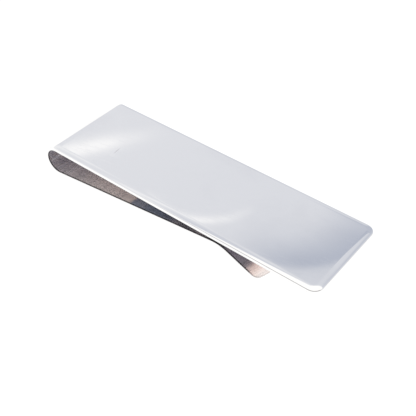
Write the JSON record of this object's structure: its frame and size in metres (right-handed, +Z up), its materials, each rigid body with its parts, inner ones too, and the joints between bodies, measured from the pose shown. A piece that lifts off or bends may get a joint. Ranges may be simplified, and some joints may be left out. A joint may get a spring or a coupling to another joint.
{
  "type": "money clip",
  "caption": "Plain money clip bent from a strip of polished silver: a flat face plate, a U-bend and a sprung leaf whose crest pinches the notes, ending in a flared lip.",
  "frame": {"origin": "centre of the bounding box's bottom, on the table that the clip lies on", "axes": "+X from the bend towards the face plate's tip, +Y across the strip, +Z up; the clip lies on its bend and lip, so the face plate falls 1 degree towards its tip"},
  "size_m": [0.065, 0.02, 0.007],
  "materials": {
    "face_silver": "bright polish with faint hairlines",
    "leaf_silver": "polish with handling scratches and a trace of tarnish"
  },
  "bodies": {
    "face": {"face_plate": "face_silver", "bend_upper": "face_silver"},
    "leaf": {"bend_lower": "leaf_silver", "spring_arm": "leaf_silver", "grip_crest": "leaf_silver", "lead_in_lip": "leaf_silver"}
  },
  "joints": [
    {"name": "leaf_spring", "type": "hinge", "parent": "face", "child": "leaf", "pos_m": [-0.03202, 0, 0.00355], "axis": [0, 1, 0], "range_deg": [0, 7], "stiffness_Nm_per_rad": 3.3, "springref_deg": -1.72}
  ]
}
